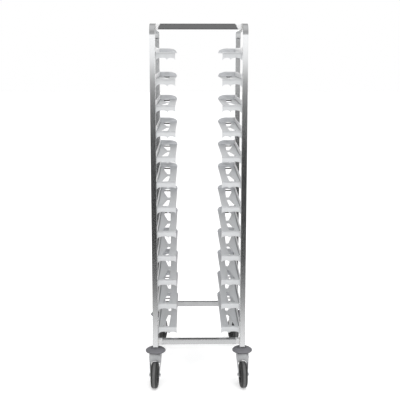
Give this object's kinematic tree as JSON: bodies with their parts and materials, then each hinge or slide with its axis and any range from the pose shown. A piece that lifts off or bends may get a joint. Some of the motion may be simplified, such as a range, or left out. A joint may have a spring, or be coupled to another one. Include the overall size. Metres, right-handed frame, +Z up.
{
  "type": "tray rack trolley",
  "caption": "Tall narrow rack of bent square tube with pairs of pressed sheet supports for trays, on swivel castors with round buffers.",
  "frame": {"origin": "on the floor under the middle of the rack", "axes": "+Z up, front faces -Y, +X to the right seen from the front"},
  "size_m": [0.506, 0.7185, 1.685],
  "materials": {
    "frame_steel": "bright drawn stainless tube",
    "support_steel": "fine satin sheet",
    "zinc": "bright zinc plate",
    "buffer_plastic": "mid grey, fine grain",
    "hub_plastic": "dark grey, moulded",
    "tyre_rubber": "dark grey, smooth tread",
    "pedal_plastic": "black, moulded"
  },
  "bodies": {
    "frame": {"hoop_left": "frame_steel", "hoop_right": "frame_steel", "crossbar_top": "frame_steel", "crossbar_front_low": "frame_steel", "crossbar_rear_low": "frame_steel", "tray_support_left_01": "support_steel", "tray_support_left_02": "support_steel", "tray_support_left_03": "support_steel", "tray_support_left_04": "support_steel", "tray_support_left_05": "support_steel", "tray_support_left_06": "support_steel", "tray_support_left_07": "support_steel", "tray_support_left_08": "support_steel", "tray_support_left_09": "support_steel", "tray_support_left_10": "support_steel", "tray_support_left_11": "support_steel", "tray_support_left_12": "support_steel", "tray_support_right_01": "support_steel", "tray_support_right_02": "support_steel", "tray_support_right_03": "support_steel", "tray_support_right_04": "support_steel", "tray_support_right_05": "support_steel", "tray_support_right_06": "support_steel", "tray_support_right_07": "support_steel", "tray_support_right_08": "support_steel", "tray_support_right_09": "support_steel", "tray_support_right_10": "support_steel", "tray_support_right_11": "support_steel", "tray_support_right_12": "support_steel", "castor_front_left_stem": "zinc", "castor_front_left_buffer": "buffer_plastic", "castor_front_left_race": "zinc", "castor_front_right_stem": "zinc", "castor_front_right_buffer": "buffer_plastic", "castor_front_right_race": "zinc", "castor_rear_left_stem": "zinc", "castor_rear_left_buffer": "buffer_plastic", "castor_rear_left_race": "zinc", "castor_rear_right_stem": "zinc", "castor_rear_right_buffer": "buffer_plastic", "castor_rear_right_race": "zinc"},
    "castor_front_left_swivel": {"castor_front_left_fork": "zinc", "castor_front_left_axle": "zinc"},
    "castor_front_left_wheel": {"castor_front_left_hub": "hub_plastic", "castor_front_left_tyre": "tyre_rubber"},
    "castor_front_right_swivel": {"castor_front_right_fork": "zinc", "castor_front_right_axle": "zinc"},
    "castor_front_right_wheel": {"castor_front_right_hub": "hub_plastic", "castor_front_right_tyre": "tyre_rubber"},
    "castor_rear_left_swivel": {"castor_rear_left_fork": "zinc", "castor_rear_left_axle": "zinc"},
    "castor_rear_left_wheel": {"castor_rear_left_hub": "hub_plastic", "castor_rear_left_tyre": "tyre_rubber"},
    "castor_rear_left_brake": {"castor_rear_left_brake_pedal": "pedal_plastic"},
    "castor_rear_right_swivel": {"castor_rear_right_fork": "zinc", "castor_rear_right_axle": "zinc"},
    "castor_rear_right_wheel": {"castor_rear_right_hub": "hub_plastic", "castor_rear_right_tyre": "tyre_rubber"},
    "castor_rear_right_brake": {"castor_rear_right_brake_pedal": "pedal_plastic"}
  },
  "joints": [
    {"name": "castor_front_left_swivel_turn", "type": "hinge", "parent": "frame", "child": "castor_front_left_swivel", "pos_m": [-0.2055, -0.2575, 0.158], "axis": [0, 0, 1], "continuous": true},
    {"name": "castor_front_left_wheel_roll", "type": "hinge", "parent": "castor_front_left_swivel", "child": "castor_front_left_wheel", "pos_m": [-0.20829, -0.2974, 0.0625], "axis": [0.9976, -0.0698, 0], "continuous": true},
    {"name": "castor_front_right_swivel_turn", "type": "hinge", "parent": "frame", "child": "castor_front_right_swivel", "pos_m": [0.2055, -0.2575, 0.158], "axis": [0, 0, 1], "continuous": true},
    {"name": "castor_front_right_wheel_roll", "type": "hinge", "parent": "castor_front_right_swivel", "child": "castor_front_right_wheel", "pos_m": [0.20829, -0.2974, 0.0625], "axis": [0.9976, 0.0698, 0], "continuous": true},
    {"name": "castor_rear_left_swivel_turn", "type": "hinge", "parent": "frame", "child": "castor_rear_left_swivel", "pos_m": [-0.2055, 0.2575, 0.158], "axis": [0, 0, 1], "continuous": true},
    {"name": "castor_rear_left_wheel_roll", "type": "hinge", "parent": "castor_rear_left_swivel", "child": "castor_rear_left_wheel", "pos_m": [-0.19515, 0.29614, 0.0625], "axis": [0.9659, -0.2588, 0], "continuous": true},
    {"name": "castor_rear_left_brake_press", "type": "hinge", "parent": "castor_rear_left_swivel", "child": "castor_rear_left_brake", "pos_m": [-0.20032, 0.27682, 0.133], "axis": [-0.9659, 0.2588, 0], "range_deg": [0, 14]},
    {"name": "castor_rear_right_swivel_turn", "type": "hinge", "parent": "frame", "child": "castor_rear_right_swivel", "pos_m": [0.2055, 0.2575, 0.158], "axis": [0, 0, 1], "continuous": true},
    {"name": "castor_rear_right_wheel_roll", "type": "hinge", "parent": "castor_rear_right_swivel", "child": "castor_rear_right_wheel", "pos_m": [0.19515, 0.29614, 0.0625], "axis": [0.9659, 0.2588, 0], "continuous": true},
    {"name": "castor_rear_right_brake_press", "type": "hinge", "parent": "castor_rear_right_swivel", "child": "castor_rear_right_brake", "pos_m": [0.20032, 0.27682, 0.133], "axis": [-0.9659, -0.2588, 0], "range_deg": [0, 14]}
  ]
}
